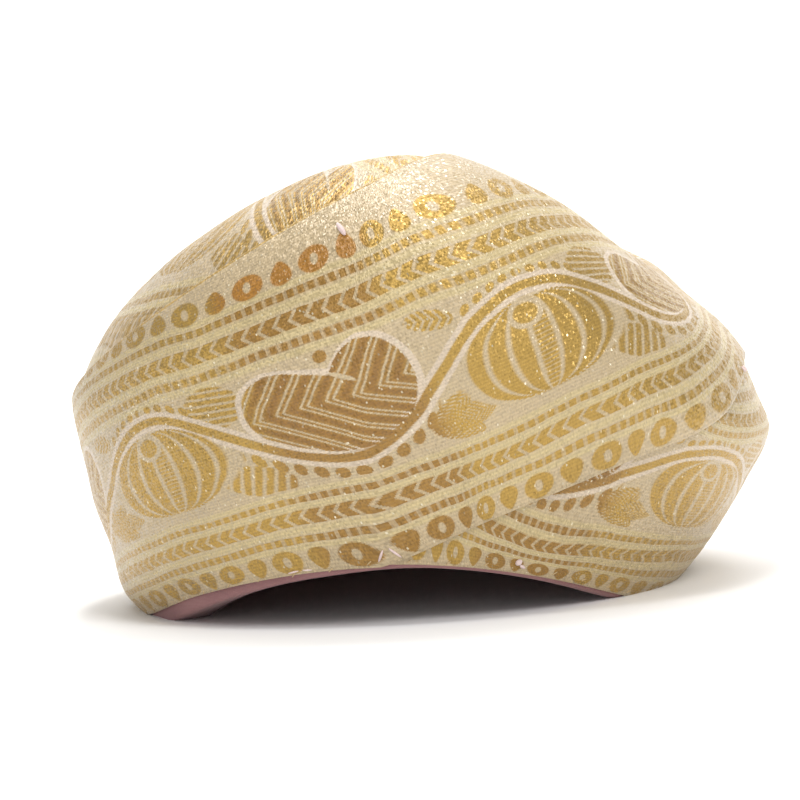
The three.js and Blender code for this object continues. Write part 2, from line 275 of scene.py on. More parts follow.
# Where the pattern's two rows of chevrons run across each wrap, 0 at its lower edge and 1 at its upper one.
frontWeave = {
    "angle": [-180, -120, -60, -36, -25, -10, 7, 18, 35, 60, 90, 130],
    "lowRow": [0.165, 0.17, 0.2, 0.18, 0.165, 0.165, 0.16, 0.146, 0.172, 0.205, 0.19, 0.17],
    "highRow": [0.79, 0.82, 0.86, 0.8, 0.745, 0.705, 0.677, 0.65, 0.677, 0.7, 0.76, 0.79],
    "slip": [0.0] * 12,
    "phase": 380.0,
}
underWeave = {
    "angle": [-180, -120, -60, -15, 5, 25, 43, 55, 67, 90, 130],
    "lowRow": [0.17, 0.36, 0.46, 0.48, 0.2, 0.08, 0.109, 0.143, 0.17, 0.17, 0.17],
    "highRow": [0.74, 0.9, 1.02, 1.08, 0.98, 0.68, 0.59, 0.57, 0.565, 0.62, 0.7],
    "slip": [-20, -40, -48, -42, -18, -3, 0, 0, 0, 0, 0],
    "phase": 449.0,
}

# The pattern's chart in millimetres, down from its upper edge. topStretch is for the part above highRow.
chart = {
    "width": 115.0,
    "scrollMiddle": 60.0,
    "scrollHalf": 24.3,
    "highRow": 24.0,
    "lowRow": 95.6,
    "topStretch": 122.0,
    "period": 145.0,
}


def weaveDown(weave, angle, across):  # millimetres down the pattern from its top edge
    low, high = followRound(weave, "lowRow", angle), followRound(weave, "highRow", angle)
    if across < low:
        return chart["width"] - across * (chart["width"] - chart["lowRow"]) / low
    if across > high:
        return chart["highRow"] - (across - high) * chart["topStretch"]
    return mix(chart["lowRow"], chart["highRow"], (across - low) / (high - low))


def weaveAlong(wrap, angles):  # for each column: length along the middle, width, and lean of the threads
    middles = [formPoint(a, climbAcross(wrap, a, 0.5)) for a in angles]
    steps = 12
    half = steps // 2
    length = 0.0
    table = []
    for k, angle in enumerate(angles):
        if k:
            length += (middles[k] - middles[k - 1]).length
        points = [formPoint(angle, climbAcross(wrap, angle, j / steps)) for j in range(steps + 1)]
        width = sum((points[j + 1] - points[j]).length for j in range(steps))
        forward = middles[min(k + 1, len(angles) - 1)] - middles[max(k - 1, 0)]
        lean = forward.normalized().dot((points[half + 1] - points[half - 1]).normalized())
        table.append((length, width, width * lean))
    return table


seat = Vector((-2.44, -3.86, 0)) * mm  # the head's middle in the shared frame


def makePiece(name, bm, material, node=None):
    bmesh.ops.transform(bm, matrix=Matrix.Translation(seat) @ Matrix.Scale(mm, 4), verts=bm.verts)
    mesh = bpy.data.meshes.new(name)
    bm.to_mesh(mesh)
    bm.free()
    piece = bpy.data.objects.new(name, mesh)
    bpy.context.scene.collection.objects.link(piece)
    mesh.materials.append(material)
    for face in mesh.polygons:
        face.use_smooth = True
    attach(piece, "root")
    if node:
        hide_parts(node)
    return piece


def addThickness(piece, thick):
    solid = piece.modifiers.new("thickness", "SOLIDIFY")
    solid.thickness = thick * mm
    solid.offset = -1
    edge = piece.modifiers.new("softEdge", "BEVEL")
    edge.width = turban["edgeRound"] * mm
    edge.segments = 2
    edge.limit_method = "ANGLE"
    edge.angle_limit = math.radians(50)


def wrapCloth(name, wrap, weave, depthAt, closed, material, node):
    bm = bmesh.new()
    columns, rows = wrap["columns"], wrap["rows"]
    bmesh.ops.create_grid(bm, x_segments=columns, y_segments=rows, size=0.5)
    start, end = wrap["endAngles"]
    angles = [mix(start, end, k / columns) for k in range(columns + 1)]
    along = weaveAlong(wrap, angles)
    lengthBefore = along[min(range(len(angles)), key=lambda k: abs(angles[k] + 180))][0]
    uvLayer = bm.loops.layers.uv.new("weave")
    edgeLayer = bm.verts.layers.float.new("foldEdge")
    places = {}
    woven = {}
    for vert in bm.verts:
        k = round((vert.co.x + 0.5) * columns)
        angle, across = angles[k], vert.co.y + 0.5
        length, width, lean = along[k]
        slip = followRound(weave, "slip", angle)
        woven[vert] = (
            (length - lengthBefore + (across - 0.5) * lean + slip - weave["phase"]) * mm,
            weaveDown(weave, angle, across) * mm,
        )
        low, high = climbAcross(wrap, angle, 0), climbAcross(wrap, angle, 1)
        foot = max(followRound(rimLift, "lift", angle) - low, 0)
        climb = mix(low + foot, high, across)
        places[vert] = (angle, across, climb)
        vert.co = formPoint(angle, climb)
        vert[edgeLayer] = (1 - across) * width * mm
    for face in bm.faces:
        for loop in face.loops:
            loop[uvLayer].uv = woven[loop.vert]
    bm.faces.ensure_lookup_table()
    bm.normal_update()
    if bm.faces[0].normal.dot(bm.faces[0].calc_center_median()) < 0:
        bmesh.ops.reverse_faces(bm, faces=bm.faces)
        bm.normal_update()
    moved = {}
    for vert, place in places.items():
        moved[vert] = vert.co - vert.normal * skinDepth(depthAt, vert.co, *place)
    for vert, place in moved.items():
        vert.co = place
    if closed:
        bmesh.ops.remove_doubles(bm, verts=bm.verts, dist=0.01)
    piece = makePiece(name, bm, material, node)
    addThickness(piece, turban["clothThick"])
    return piece


class Wire:  # a value that runs through a node tree, so that sums can be written as sums
    def __init__(self, tree, socket):
        self.tree, self.socket = tree, socket

    def math(self, operation, *others, clamp=False):
        node = self.tree.nodes.new("ShaderNodeMath")
        node.operation = operation
        node.use_clamp = clamp
        for place, value in zip(node.inputs, (self, *others)):
            join(self.tree, value, place)
        return Wire(self.tree, node.outputs[0])

    def vector(self, operation, *others, scale=None):
        node = self.tree.nodes.new("ShaderNodeVectorMath")
        node.operation = operation
        for place, value in zip(node.inputs, (self, *others)):
            join(self.tree, value, place)
        if scale:
            join(self.tree, scale, node.inputs["Scale"])
        return Wire(self.tree, node.outputs[0])

    def __add__(self, other):
        return self.math("ADD", other)

    def __sub__(self, other):
        return self.math("SUBTRACT", other)

    def __mul__(self, other):
        return self.math("MULTIPLY", other)

    def __truediv__(self, other):
        return self.math("DIVIDE", other)

    def times(self, factor, more):
        return self.math("MULTIPLY_ADD", factor, more)

    def size(self):
        return self.math("ABSOLUTE")

    def repeat(self, pitch):  # the place from the middle of its cell
        return self.math("WRAP", pitch / 2, -pitch / 2)

    def most(self, other):
        return self.math("MAXIMUM", other)

    def least(self, other):
        return self.math("MINIMUM", other)

    def flip(self):
        return self.times(-1.0, 1.0)

    def below(self, limit, soft=0.4):  # 1 below the limit, 0 above it, with a soft step between
        return self.math("MULTIPLY_ADD", -1 / soft, limit / soft + 0.5, clamp=True)

    def near(self, middle, half, soft=0.4):
        return (self - middle).size().below(half, soft)


def join(tree, value, place):
    if isinstance(value, Wire):
        tree.links.new(value.socket, place)
    else:
        place.default_value = value


def arrange(tree):  # columns from the inputs on the left to the output on the right
    depth = {}

    def column(node):
        if node not in depth:
            depth[node] = 0
            sources = [link.from_node for place in node.inputs for link in place.links]
            depth[node] = 1 + max((column(source) for source in sources), default=-1)
        return depth[node]

    filled = {}
    for node in tree.nodes:
        at = column(node)
        row = filled.get(at, 0)
        filled[at] = row + 1
        node.location = (at * 200, -row * 190)


def makeGroup(name, takes, gives, build):
    tree = bpy.data.node_groups.new(name, "ShaderNodeTree")
    for label, kind in takes.items():
        tree.interface.new_socket(label, in_out="INPUT", socket_type="NodeSocket" + kind)
    for label, kind in gives.items():
        tree.interface.new_socket(label, in_out="OUTPUT", socket_type="NodeSocket" + kind)
    entry = tree.nodes.new("NodeGroupInput")
    leave = tree.nodes.new("NodeGroupOutput")
    results = build(*[Wire(tree, entry.outputs[label]) for label in takes])
    for label, wire in zip(gives, results):
        tree.links.new(wire.socket, leave.inputs[label])
    arrange(tree)
    return tree


def useGroup(group, *wires):
    tree = wires[0].tree
    node = tree.nodes.new("ShaderNodeGroup")
    node.node_tree = group
    for place, wire in zip(node.inputs, wires):
        join(tree, wire, place)
    return [Wire(tree, out) for out in node.outputs]


def mixValue(share, first, second):
    node = share.tree.nodes.new("ShaderNodeMix")
    for place, value in zip((0, 2, 3), (share, first, second)):
        join(share.tree, value, node.inputs[place])
    return Wire(share.tree, node.outputs[0])


def mixColour(share, first, second):
    tree = share.tree
    node = tree.nodes.new("ShaderNodeMix")
    node.data_type = "RGBA"
    join(tree, share, node.inputs[0])
    for place, colour in ((6, first), (7, second)):
        join(tree, colour if isinstance(colour, Wire) else (*colour, 1), node.inputs[place])
    return Wire(tree, node.outputs[2])


def fromScreen(*levels):  # a colour as read off a screen, 0 to 255, to the linear one that shaders take
    return tuple((v / 255 / 12.92) if v < 10.4 else ((v / 255 + 0.055) / 1.055) ** 2.4 for v in levels)


def partsOf(vector):
    node = vector.tree.nodes.new("ShaderNodeSeparateXYZ")
    join(vector.tree, vector, node.inputs[0])
    return [Wire(vector.tree, out) for out in node.outputs]


def oval(x, y, across, tall):  # 1 on the outline, less inside
    wide, high = x * (1 / across), y * (1 / tall)
    return high.times(high, wide * wide)


# The woven border along both edges of the brocade. Lengths are in millimetres from the cloth's edge.
border = {
    "lowerSqueeze": 1.27,
    "rosettePitch": 12.6,
    "rosetteShift": 11.1,
    "rosetteAt": 6.4,
    "ring": (5.9, 5.1),
    "hole": (1.5, 2.3),
    "drop": (4.2, 4.8),
    "squareRows": (15.3, 33.0),
    "squarePitch": 3.9,
    "squareHalf": (1.25, 1.6),
    "chevronAt": 24.6,
    "chevronHalf": 3.3,
    "chevronPitch": 5.9,
    "chevronLean": 0.85,
    "chevronThick": 2.15,
    "stripes": ((11.9, 1.2), (19.0, 1.5), (29.3, 1.6), (36.4, 1.3)),
}


def borderRows(along, fromEdge):
    pitch = border["rosettePitch"]
    placed = along - border["rosetteShift"]
    second = (placed - pitch / 2).repeat(2 * pitch).below(0, 0.2)
    x, y = placed.repeat(pitch), fromEdge - border["rosetteAt"]
    ring = oval(x, y, *border["ring"]).below(1, 0.2)
    ring = ring * oval(x, y, *border["hole"]).below(1, 0.6).flip()
    drop = oval(x / y.times(0.07, 0.9), y, *border["drop"]).below(1, 0.25)  # fuller towards one end
    rosettes = mixValue(second, drop, ring)
    halfLong, halfTall = border["squareHalf"]
    square = along.repeat(border["squarePitch"]).size().below(halfLong)
    rows = [fromEdge.near(at, halfTall) for at in border["squareRows"]]
    squares = square.times(0.65, 0.35) * rows[0].most(rows[1])
    away = (fromEdge - border["chevronAt"]).size()
    arms = away.times(-border["chevronLean"], along).repeat(border["chevronPitch"]).size()
    chevrons = arms.below(border["chevronThick"]).times(0.88, 0.12) * away.below(border["chevronHalf"])
    lines = [fromEdge.near(at, half, 1.4) for at, half in border["stripes"]]
    line = lines[0].most(lines[1]).most(lines[2].most(lines[3]))
    return rosettes, squares.most(chevrons), line


# The running vine between the borders, with a mango in each trough and a pumpkin under each crest. along is
# from the mango's middle, down from the cloth's upper edge, both in millimetres.
scroll = {
    "vineMiddle": 60.2,
    "vineSwing": 17.0,
    "vineHalf": 1.6,
    "vineLine": (2.6, 0.9),
    "mangoDown": 56.2,
    "mangoTurns": [-180, -168.7, -150.9, -125.5, -90, -58, -28.8, -9.1, 8.7, 27.6, 45, 56, 63, 70, 75,
                   90, 107, 122.8, 133, 142, 151.7, 162.6, 180],
    "mangoReach": [30.5, 28.4, 24.0, 20.1, 19.3, 22.0, 25.8, 28.2, 29.0, 28.8, 25.5, 21.0, 16.5, 11.5, 9.6,
                   10, 11.7, 15.4, 20, 24.5, 28.5, 31.0, 30.5],
    "mangoLine": (0.6, 1.2),
    "hook": (6.3, 49.2, 30, 4.6, 0.9),
    "mangoDot": (2.2, 40.6, 0, 2.6, 2.3),
    "herringPitch": 8.9,
    "herringLean": (0.85, 1.5),
    "herringBare": (-1.4, 1.1),
    "pumpkinAlong": 73.2,
    "pumpkinDown": 64.4,
    "pumpkin": (28.6, 17.0),
    "bud": (-2.5, 52.6, 4.4, 3.6),
    "ribCount": 6.4,
    "ribShift": 0.06,
    "hatchPitch": 1.5,
    "dots": (5.6, 6.4, 2.3, 2.1),
    "beads": (-5.0, 5.2, 1.8, 1.5),
}
leaves = {
    "along": [-40.5, -35.5, 38.5, 33.6, 34.7, 40.0],
    "down": [45.5, 78.0, 77.5, 73.7, 80.7, 42.5],
    "long": [8.5, 15.5, 14.5, 10.5, 11.0, 8.0],
    "wide": [11.5, 6.4, 4.4, 3.6, 3.6, 3.8],
    "turn": [-80, 22, -4, -24, 14, 15],
    "hatch": [0.31, 0.27, 0.15, 0.2, 0.2, 0.34],
    "lean": [0.0, 0.0, 0.5, 0.5, 0.5, 0.35],
    "fill": [0.33, 0.33, 0.36, 0.36, 0.36, 0.33],
}


def turned(along, down, x0, y0, turn, long, wide):  # places in a turned oval: 1 from its middle to its rim
    c, n = math.cos(math.radians(turn)), math.sin(math.radians(turn))
    x = along.times(c / long, down.times(n / long, -(c * x0 + n * y0) / long))
    y = along.times(-n / wide, down.times(c / wide, (n * x0 - c * y0) / wide))
    return x, y


def spotMask(along, down, shape):
    x, y = turned(along, down, *shape)
    return y.times(y, x * x).below(1, 0.3)


def leafMask(along, down, k):
    shape = [leaves[column][k] for column in ("along", "down", "turn", "long", "wide")]
    x, y = turned(along, down, *shape)
    bars = (x + y.size() * leaves["lean"][k]).repeat(leaves["hatch"][k]).size()
    edge = y.times(y, x * x)
    inside = (edge + bars * 0.9).below(1, 0.15)
    return inside * bars.below(leaves["hatch"][k] * leaves["fill"][k], 0.05)


def followCurve(place, places, values):  # a curve node through the points, both between 0 and 1
    node = place.tree.nodes.new("ShaderNodeFloatCurve")
    curve = node.mapping.curves[0]
    while len(curve.points) < len(places):
        curve.points.new(0.5, 0.5)
    for point, x, y in zip(curve.points, places, values):
        point.location = (x, y)
    node.mapping.use_clip = False
    node.mapping.update()
    place.tree.links.new(place.socket, node.inputs["Value"])
    return Wire(place.tree, node.outputs[0])


def mangoShapes(along, down):  # its gold, its outline, its darker strokes and the distance past its rim
    up = (down - scroll["mangoDown"]) * -1.0
    turn = up.math("ARCTAN2", along).times(1 / (2 * math.pi), 0.5)
    places = [(t + 180) / 360 for t in scroll["mangoTurns"]]
    most = 40.0  # the curve's values have to stay under 1
    reach = followCurve(turn, places, [r / most for r in scroll["mangoReach"]]) * most
    past = up.times(up, along * along).math("SQRT") - reach
    inside = past.below(-0.6)
    pitch, lean = scroll["herringPitch"], scroll["herringLean"]
    herring = (along - (up * lean[0]).most(up * -lean[1])).repeat(pitch)
    bare = [herring.near(at, 0.5) for at in scroll["herringBare"]]
    deep = inside * herring.size().near(pitch / 2, 1.5, 1.0)
    clear = bare[0].most(bare[1]).most(spotMask(along, down, scroll["hook"])).flip()
    gold = (inside * clear).most(spotMask(along, down, scroll["mangoDot"]))
    return gold, past.near(*scroll["mangoLine"]), deep, past


def pumpkinShapes(along, down):  # its gold with the bud's, and the share of its half width: 1 on its rim
    halfWide, halfTall = scroll["pumpkin"]
    x = (along - scroll["pumpkinAlong"]).repeat(chart["period"])
    y = (down - scroll["pumpkinDown"]) * (1 / halfTall)
    share = x / ((y * y).flip().most(0.0004).math("SQRT") * halfWide)
    inside = share.size()
    ribs = (share - scroll["ribShift"]).repeat(2 / scroll["ribCount"]).size()
    skin = inside.below(1, 0.06) * ribs.below(1 / scroll["ribCount"] - 0.036, 0.04)
    hatch = share.near(scroll["ribShift"], 0.17, 0.04) * down.repeat(scroll["hatchPitch"]).size().below(0.2)
    skin = skin * hatch.times(-0.55, 1.0) * (y * y).below(0.96, 0.05)  # nothing past its two ends
    budAlong, budDown, budWide, budTall = scroll["bud"]
    bud = oval(x - budAlong, down - budDown, budWide, budTall)
    return (skin * bud.near(1.6, 0.6, 0.3).flip()).most(bud.below(1, 0.3)), inside


def scrollShapes(along, down):
    s = along.repeat(chart["period"])
    swing = s * (2 * math.pi / chart["period"])
    vineDown = swing.math("COSINE").times(scroll["vineSwing"], scroll["vineMiddle"])
    steep = swing.math("SINE")
    fromVine = (down - vineDown) / (steep * steep).times(0.28, 1.0)  # square to the vine where it is steep
    away = fromVine.size()
    mango, mangoLine, deep, past = mangoShapes(s, down)
    pumpkin, inside = pumpkinShapes(along, down)
    gold = away.below(scroll["vineHalf"]).most(mango).most(pumpkin)
    outline = mangoLine.most(away.near(*scroll["vineLine"]))
    clear = outline.flip() * past.below(0, 0.4).flip() * inside.below(1.2, 0.1).flip()
    sprig = leafMask(s, down, 0)
    for k in range(1, len(leaves["along"])):
        sprig = sprig.most(leafMask(s, down, k))
    rows = []
    for at, pitch, across, tall in (scroll["dots"], scroll["beads"]):
        rows.append(oval(along.repeat(pitch), fromVine - at, across, tall).below(1, 0.3))
    dots = rows[0] * s.near(-3, 34, 2)
    beads = rows[1] * s.size().below(50, 2).flip()
    return gold.most(sprig.most(dots.most(beads)) * clear), outline, deep


borderGroup = makeGroup("borderRows", {"Along": "Float", "FromEdge": "Float"},
                        {"Rosettes": "Float", "Gold": "Float", "Stripes": "Float"}, borderRows)
scrollGroup = makeGroup("scrollShapes", {"Along": "Float", "Down": "Float"},
                        {"Gold": "Float", "Outline": "Float", "Deep": "Float"}, scrollShapes)

# Colours of the brocade, and how its threads shine.
brocade = {
    "ground": fromScreen(183, 162, 125),
    "gold": fromScreen(174, 140, 66),
    # this colour and the next are painted shade, laid over one stretch along the wrap; the next one is for
    # the rosettes at its upper edge
    "shade": fromScreen(143, 102, 24),
    "paintedShadeDark": fromScreen(158, 106, 8),
    "deep": fromScreen(120, 76, 2),
    "stripe": fromScreen(190, 170, 122),
    "outline": fromScreen(200, 181, 156),
    # a painted glint: the near-white colour painted on a few threads
    "paintedGlint": fromScreen(245, 235, 205),
    "thread": 0.5,
    "wander": 1.6,
    "weftPitch": 1.2,
    "warpPitch": 0.8,
    "tilt": 0.3,
    # the share of threads painted near-white as painted glints
    "paintedGlintShare": 0.003,
    # the stretch along the wrap, in millimetres, that gets the painted shade
    "paintedShadeSpan": (-26.0, 30.0),
    "foldLine": 1.4,
    "metal": (0.1, 0.6),
    "rough": (0.27, 0.29),
}


def noiseAt(vector, scale, detail=2.0):
    node = vector.tree.nodes.new("ShaderNodeTexNoise")
    node.inputs["Scale"].default_value = scale
    node.inputs["Detail"].default_value = detail
    join(vector.tree, vector, node.inputs["Vector"])
    return Wire(vector.tree, node.outputs["Fac"])


def chanceAt(x, y):  # a random value and a random vector for each thread
    tree = x.tree
    cell = tree.nodes.new("ShaderNodeCombineXYZ")
    for place, value in zip(cell.inputs, (x, y)):
        join(tree, value, place)
    white = tree.nodes.new("ShaderNodeTexWhiteNoise")
    white.noise_dimensions = "2D"
    tree.links.new(cell.outputs[0], white.inputs["Vector"])
    return Wire(tree, white.outputs["Value"]), Wire(tree, white.outputs["Color"])


def brocadeLook(weave, fromFold):
    wander = brocade["wander"]
    wobble = noiseAt(weave, 70.0).times(wander, -wander / 2)
    along, down = [part.times(1000.0, wobble) for part in partsOf(weave)[:2]]
    thread = brocade["thread"]
    u, v = along.math("SNAP", thread), down.math("SNAP", thread)
    fromEdge = v.least(v.times(-border["lowerSqueeze"], chart["width"] * border["lowerSqueeze"]))
    rosettes, rowGold, stripes = useGroup(borderGroup, u, fromEdge)
    scrollGold, outline, deep = useGroup(scrollGroup, u, v)
    middle = v.near(chart["scrollMiddle"], chart["scrollHalf"], 0.6)
    gold = rowGold.most(scrollGold * middle).most(rosettes)
    colour = mixColour(stripes, brocade["ground"], brocade["stripe"])
    colour = mixColour(outline * middle, colour, brocade["outline"])
    # the figure's gold, darker on its deep strokes; painted shade makes it darker and browner over one
    # stretch along the wrap, darkest on the rosettes at its upper edge
    start, end = brocade["paintedShadeSpan"]
    paintedShadeZone = along.near((start + end) / 2, (end - start) / 2, 10)
    upper = down.below(12, 2)
    figure = mixColour(paintedShadeZone * 0.85, brocade["gold"], brocade["shade"])
    figure = mixColour(deep * 0.45, figure, brocade["deep"])
    figure = mixColour(paintedShadeZone * upper, figure, brocade["paintedShadeDark"])
    colour = mixColour(gold, colour, figure)
    colour = mixColour(fromFold.below(brocade["foldLine"] * mm, 0.3 * mm), colour, brocade["gold"])
    # threads that differ in shade and lie at slightly different angles; a few are painted near-white as
    # painted glints, and made smoother
    chance, scatter = chanceAt(u, down.math("SNAP", thread * 1.5))
    paintedGlint = chance.below(brocade["paintedGlintShare"], 0.02)
    shade = chance.times(0.22, noiseAt(weave, 28.0) * 0.3) + 0.68
    weft = down.repeat(brocade["weftPitch"]).size()
    colour = colour.vector("SCALE", scale=(shade * weft.times(0.28, 0.84)).most(0.0))
    colour = mixColour(paintedGlint, colour, brocade["paintedGlint"])
    # the threads are also less shiny over the stretch with painted shade
    shine = gold * (paintedShadeZone * upper.times(0.35, 0.65)).flip()
    rough, roughShiny = brocade["rough"]
    rough = (chance * 0.24 + paintedGlint * -0.15) + shine.times(roughShiny - rough, rough)
    metal, metalShiny = brocade["metal"]
    metal = shine.times(metalShiny - metal, metal)
    tilt = brocade["tilt"]
    lean = scatter.vector("MULTIPLY_ADD", (2 * tilt,) * 3, (-tilt,) * 3)
    geometry = weave.tree.nodes.new("ShaderNodeNewGeometry")
    normal = Wire(weave.tree, geometry.outputs["Normal"]).vector("ADD", lean).vector("NORMALIZE")
    relief = weft.times(-0.8, 0.5) + along.repeat(brocade["warpPitch"]).size() * -0.6
    return colour, rough, metal, normal, relief


brocadeGroup = makeGroup("zariBrocade", {"Weave": "Vector", "FromFold": "Float"},
                         {"Colour": "Color", "Roughness": "Float", "Metallic": "Float", "Normal": "Vector",
                          "Relief": "Float"},
                         brocadeLook)


def plainMaterial(name, colour, roughness):
    material = bpy.data.materials.new(name)
    material.use_nodes = True
    shader = material.node_tree.nodes["Principled BSDF"]
    shader.inputs["Base Color"].default_value = (*colour, 1)
    shader.inputs["Roughness"].default_value = roughness
    return material


def feedShader(material, values):
    tree = material.node_tree
    for label, value in values.items():
        join(tree, value, tree.nodes["Principled BSDF"].inputs[label])
    arrange(tree)


def addBump(height, depth, strength, normal=None):  # depth in millimetres
    node = height.tree.nodes.new("ShaderNodeBump")
    node.inputs["Strength"].default_value = strength
    node.inputs["Distance"].default_value = depth * mm
    join(height.tree, height, node.inputs["Height"])
    if normal:
        join(height.tree, normal, node.inputs["Normal"])
    return Wire(height.tree, node.outputs[0])


# Plain cloths: thread is the pitch of the weave in millimetres, uneven how much the colour varies.
plainCloths = {
    "crownSilk": {"colour": fromScreen(190, 168, 130), "low": fromScreen(160, 138, 102), "thread": 0.7,
                  "roughness": 0.5, "relief": 0.08, "sheen": 0.3},
    "liningCotton": {"colour": fromScreen(158, 116, 114), "low": fromScreen(128, 88, 90), "thread": 0.8,
                     "roughness": 0.85, "relief": 0.12, "sheen": 0.1},
    "sewingThread": {"colour": fromScreen(226, 208, 204), "low": fromScreen(190, 164, 158), "thread": 0.5,
                     "roughness": 0.6, "relief": 0.1, "sheen": 0.2},
    "tackThread": {"colour": fromScreen(190, 166, 124), "low": fromScreen(168, 142, 100), "thread": 0.5,
                   "roughness": 0.7, "relief": 0.1, "sheen": 0.1},
}


def plainWeave(place, thread):  # threads that cross, and slow changes of shade over the cloth
    x, y, z = [part * 1000.0 for part in partsOf(place)]
    warp = (x + z * 0.7) / thread
    weft = (y + z * 0.7) / thread
    relief = (warp * math.pi).math("SINE") * (weft * math.pi).math("SINE")
    slow = noiseAt(place, 45.0, 3.0)
    fine = noiseAt(place, 900.0, 1.0)
    return slow.times(1.5, -0.25) * 0.7 + fine * 0.3, relief.times(0.5, 0.5) + fine * 0.6


plainGroup = makeGroup("plainWeave", {"Place": "Vector", "Thread": "Float"},
                       {"Shade": "Float", "Relief": "Float"}, plainWeave)


def clothMaterial(name):
    cloth = plainCloths[name]
    material = plainMaterial(name, cloth["colour"], cloth["roughness"])
    tree = material.node_tree
    where = tree.nodes.new("ShaderNodeTexCoord")
    shade, relief = useGroup(plainGroup, Wire(tree, where.outputs["Object"]), cloth["thread"])
    feedShader(material, {
        "Base Color": mixColour(shade, cloth["low"], cloth["colour"]),
        "Roughness": shade.times(-0.1, cloth["roughness"] + 0.05),
        "Normal": addBump(relief, cloth["relief"], 0.5),
        "Sheen Weight": cloth["sheen"],
    })
    return material


def brocadeMaterial(name):
    material = plainMaterial(name, (0.7, 0.5, 0.25), 0.5)
    tree = material.node_tree
    place = tree.nodes.new("ShaderNodeUVMap")
    place.uv_map = "weave"
    fold = tree.nodes.new("ShaderNodeAttribute")
    fold.attribute_name = "foldEdge"
    weave, fromFold = Wire(tree, place.outputs[0]), Wire(tree, fold.outputs["Fac"])
    colour, rough, metal, normal, relief = useGroup(brocadeGroup, weave, fromFold)
    feedShader(material, {
        "Base Color": colour,
        "Roughness": rough,
        "Metallic": metal,
        "Normal": addBump(relief, 0.12, 0.35, normal),
        "Specular IOR Level": 0.75,
        "Sheen Weight": 0.1,
        "Sheen Tint": (1.0, 0.93, 0.92, 1),
    })
    return material


frontBrocade = brocadeMaterial("frontBrocade")
underBrocade = brocadeMaterial("underBrocade")
crownSilk = clothMaterial("crownSilk")
liningCotton = clothMaterial("liningCotton")
sewingThread = clothMaterial("sewingThread")
tackThread = clothMaterial("tackThread")
print("materials made")

frontCloth = wrapCloth("frontWrapCloth", frontWrap, frontWeave, frontDepth, False, frontBrocade,
                       "front_wrap")
print("front wrap made")
underCloth = wrapCloth("underWrapCloth", underWrap, underWeave, underDepth, True, underBrocade,
                       "under_wrap")
print("under wrap made")


def gridPiece(name, columns, rows, place, thick, material, node):  # a ring of cloth from a grid
    bm = bmesh.new()
    bmesh.ops.create_grid(bm, x_segments=columns, y_segments=rows, size=0.5)
    uvLayer = bm.loops.layers.uv.new("weave")
    shares = {v: (v.co.x + 0.5, v.co.y + 0.5) for v in bm.verts}
    for face in bm.faces:
        for loop in face.loops:
            loop[uvLayer].uv = shares[loop.vert]
    for vert, (turn, across) in shares.items():
        vert.co = place(mix(-180, 180, turn), across)
    bmesh.ops.remove_doubles(bm, verts=bm.verts, dist=0.01)
    bmesh.ops.recalc_face_normals(bm, faces=bm.faces)
    piece = makePiece(name, bm, material, node)
    addThickness(piece, thick)
    return piece


crown = {
    "hemClimb": 0.56,
    "rowPower": 1.35,
    "clear": 0.4,
    "thick": 1.2,
    "pleatDepth": 2.4,
    "pleatCount": 16,
    "pleatStart": 0.7,
    "pleatDeepen": 0.12,
    "pleatFade": 0.08,
}


def crownPoint(angle, across):
    climb = mix(crown["hemClimb"], 1, across ** crown["rowPower"])
    opening = ease((climb - crown["pleatStart"]) / crown["pleatDeepen"])
    opening *= ease((1 - climb) / crown["pleatFade"])
    pleat = crown["pleatDepth"] * opening * wave(angle / 360 * crown["pleatCount"])
    depth = 2 * layerStep + crown["clear"] + pleat
    point = formPoint(angle, min(climb, 0.9999))
    if climb > 0.999:
        return formPoint(angle, 1) - Vector((0, 0, depth))
    return point - formNormal(angle, climb) * depth


crownCloth = gridPiece("crownCloth", 384, 60, crownPoint, crown["thick"], crownSilk,
                       "crown")
print("crown made")

# The lining's profile. arm: climb, and depth under the form. hem: out from the band, and up from the hem's
# lowest part. underside: share of the way from head to foot, and up. headFoot: out from the head, and up.
lining = {
    "capWallHeight": 58,
    "capDepth": 104,
    "thick": 2.0,
    "hemRise": 7,
    "bandDepth": 3.4,
    "browRaise": 1.2,
    "arm": ((0.1, 5.4), (0.06, 5.4), (0.025, 4.9)),
    "hem": ((0.2, 3.0), (0.3, 1.2), (-0.5, 0.25), (-2.0, 0.0)),
    "underside": ((0.4, 0.0), (0.1, 0.6)),
    "headFoot": (0.3, 2.5),
    "domeTurns": [0, 15, 30, 45, 60, 75, 90],
}


def headReach(angle):
    return planReach(angle, turban["headWidth"] / 2, turban["headLength"] / 2, turban["headSquareness"])


def liningRow(angle):  # one profile of the lining, from its outer arm round the hem and up to the dome
    rim = rimHeight(angle)
    foot = formPoint(angle, 0)
    footReach = math.hypot(foot.x, foot.y)
    head = headReach(angle)
    band = footReach - lining["bandDepth"]
    raised = rim + lining["browRaise"] * ease(signedAngle(angle) / 20 + 0.5) * min(rim / 3, 1)
    row = [formPoint(angle, climb) - formNormal(angle, climb) * depth for climb, depth in lining["arm"]]
    row += [towards(angle, band + out, raised + up) for out, up in lining["hem"]]
    row += [towards(angle, mix(head, footReach, share), raised + up) for share, up in lining["underside"]]
    out, up = lining["headFoot"]
    row.append(towards(angle, head + out, rim + up))
    row.append(towards(angle, head, rim + lining["hemRise"]))
    for share in (0.33, 0.66):
        row.append(towards(angle, head, mix(rim + lining["hemRise"], lining["capWallHeight"], share)))
    rise = lining["capDepth"] - lining["capWallHeight"]
    for turn in lining["domeTurns"]:
        across, up = math.cos(math.radians(turn)), math.sin(math.radians(turn))
        row.append(towards(angle, head * across, lining["capWallHeight"] + rise * up))
    return row


liningRows = {}


def liningPoint(angle, across):
    key = round(angle, 4)
    if key not in liningRows:
        liningRows[key] = liningRow(angle)
    row = liningRows[key]
    return row[round(across * (len(row) - 1))]


liningCap = gridPiece("liningCap", 240, len(liningRow(0)) - 1, liningPoint, lining["thick"], liningCotton,
                      "lining_cap")
print("lining made")

